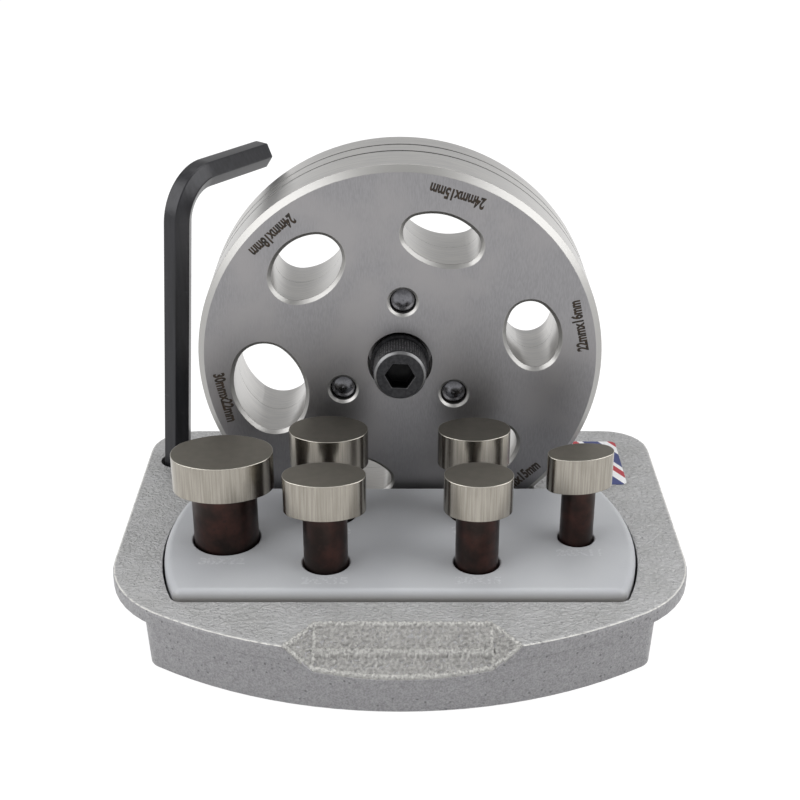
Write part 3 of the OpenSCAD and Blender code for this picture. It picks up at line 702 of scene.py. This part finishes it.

# %% [markdown]
# ## A fine grid over the plaque
# The grain needs points to move, so the surface becomes a grid with a point about
# every 0.3 mm. Two attributes ride on it: how far a point is from the border,
# which fades the grain out there, and how pale its ridges are painted, partly for
# rubbed paint and partly as a painted highlight.

# %% Grid of the plaque
COLUMNS, ROWS, PALEST_RIDGE, BORDER_ROWS = 240, 52, 0.6, 2
grid = bmesh.new()
from_border = grid.verts.layers.float.new("from_border")
rub_and_highlight = grid.verts.layers.float.new("rub_and_highlight")
rows = []
for j in range(ROWS + 1):
    row = []
    for i in range(COLUMNS + 1):
        x, y, z, ridge_paleness = plaque_point(2 * i / COLUMNS - 1, j / ROWS)
        vert = grid.verts.new(mm(x, y, z))
        vert[rub_and_highlight] = min(PALEST_RIDGE, ridge_paleness)
        steps = min(j, ROWS - j, (COLUMNS - abs(2 * i - COLUMNS)) / 2)
        vert[from_border] = min(1, steps / BORDER_ROWS)
        row.append(vert)
    rows.append(row)
for lower, upper in zip(rows[1:], rows[:-1]):
    for i in range(COLUMNS):
        grid.faces.new((lower[i], lower[i + 1], upper[i + 1], upper[i]))
bmesh.ops.remove_doubles(grid, verts=grid.verts, dist=mm(0.01))
smooth_plaque = bpy.data.meshes.new("plaque_grain")
grid.to_mesh(smooth_plaque)
grid.free()
print("plaque's grid:", len(smooth_plaque.polygons), "faces")

# %% [markdown]
# ## The grain of the plaque
# The plaque was left rough by the sand, far coarser than the enamel's wrinkles.
# That grain is real relief, so it is in the mesh: Geometry Nodes push each point
# in and out along its normal by fixed noise, about one lump a millimetre. Along
# the border the grid dips under the paint instead, so that no edge of it shows.

# %% Plaque grain
GRAIN_SEED, GRAIN_LEVEL = 7.0, 0.4                   # which noise, and its value that moves nothing
rough, given = new_tree("sand_grain", Grain="Float", Height="Float", Sink="Float", Finish="Material")
where = add(rough, "GeometryNodeInputPosition")
fine = add(rough, "ShaderNodeTexNoise", {"Vector": where, "Scale": given["Grain"], "Detail": 2.0,
                                         "W": GRAIN_SEED}, noise_dimensions="4D")
fade = add(rough, "GeometryNodeInputNamedAttribute", {"Name": "from_border"}, data_type="FLOAT")
push = add(rough, MATH, fine, GRAIN_LEVEL, operation="SUBTRACT")
push = add(rough, MATH, push, given["Height"], **TIMES)
push = add(rough, MIX, {0: fade, 2: given["Sink"], 3: push})
normal = add(rough, "GeometryNodeInputNormal")
push = add(rough, "ShaderNodeVectorMath", {0: normal, "Scale": push}, operation="SCALE")
moved = add(rough, "GeometryNodeSetPosition", {"Geometry": given["Geometry"], "Offset": push})
moved = add(rough, "GeometryNodeRealizeInstances", moved)
moved = add(rough, "GeometryNodeSetMaterial", {"Geometry": moved, "Material": given["Finish"]})
add(rough, "NodeGroupOutput", moved)

GRAINS_PER_METRE, GRAIN_HEIGHT, BORDER_SINK = 1100.0, 2.6, -0.12
grain = node_piece("plaque_grain", rough,
                   {"Grain": GRAINS_PER_METRE, "Height": mm(GRAIN_HEIGHT), "Sink": mm(BORDER_SINK),
                    "Finish": rough_iron}, smooth_plaque)
grain.data.shade_smooth()
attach(grain, "stand")
print("plaque grain:", len(grain.data.polygons), "faces")

# %% [markdown]
# ## Letters as meshes
# The sizes on the steel and on the block are flat text. A text object gives the
# outlines; it is made a mesh, and stretched to the length and height that were
# measured, before the mesh is put in its place.

# %% Text
STROKE = 0.045                                       # bolder by this share of the font's size


def text_mesh(name, words, length, tall, finish):
    """Flat letters length mm long and tall mm high, centred on x = 0, standing on y = 0."""
    curve = bpy.data.curves.new(name, "FONT")
    curve.body, curve.resolution_u, curve.offset = words, 3, STROKE
    piece = bpy.data.objects.new(name, curve)
    bpy.context.scene.collection.objects.link(piece)
    mesh = into_mesh(piece)
    bpy.data.objects.remove(piece)
    xs, ys = [v.co.x for v in mesh.vertices], [v.co.y for v in mesh.vertices]
    mesh.transform(Matrix.Diagonal((mm(length) / (max(xs) - min(xs)), mm(tall) / max(ys), 1, 1))
                   @ Matrix.Translation((-(max(xs) + min(xs)) / 2, 0, 0)))
    mesh.materials.clear()
    mesh.materials.append(finish)
    piece = bpy.data.objects.new(name, mesh)
    bpy.context.scene.collection.objects.link(piece)
    return piece


print("text ready")

# %% [markdown]
# ## Sizes burnt into the steel and raised on the block
# Each opening is marked with its size, so that the jeweller picks the right
# punch. A laser burnt the marks into the face, tops towards the middle; the block
# has the same sizes in faint figures in front of its holes. Both lie a hair above
# the surface, so that they never flicker into it.

# %% Size marks
MARK_CHORD, MARK_LENGTH, NUMBER_LENGTH, FIGURE_HEIGHT = 57.6, 17.0, 13.5, 3.5
HAIR = 0.02                                          # how far text lies above its surface
HOLE_LEAD, NUMBER_GAP = 0.4, 1                       # the hole's chamfer, and the gap before it
for node, body, (long, wide), hole, direction in OVALS:
    angle = math.radians(direction + ROLL)
    outward = Vector((math.cos(angle), 0, math.sin(angle)))
    along = Vector((-outward.z, 0, outward.x))
    mark = text_mesh(f"mark_{long}x{wide}", f"{long}mmx{wide}mm", MARK_LENGTH, FIGURE_HEIGHT, burnt)
    mark.data.transform(Matrix((along, -outward, (0, -1, 0))).transposed().to_4x4())
    spot = mm(DISC_X, FACE_Y - HAIR, DISC_Z) + outward * mm(MARK_CHORD)
    mark.data.transform(Matrix.Translation(spot))
    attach(mark, "front")
    number = text_mesh(f"number_{long}x{wide}", f"{long}X{wide}", NUMBER_LENGTH, FIGURE_HEIGHT,
                       raised_numbers)
    before = mm(hole + HOLE_LEAD + NUMBER_GAP + FIGURE_HEIGHT)
    x, y = [sum(corner[i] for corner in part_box(node)) / 2 for i in (0, 1)]
    spot = Vector((x, y - before, mm(BLOCK_TOP + HAIR)))
    number.data.transform(Matrix.Translation(spot))
    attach(number, "block")
print("marks on", len(OVALS), "openings and holes")
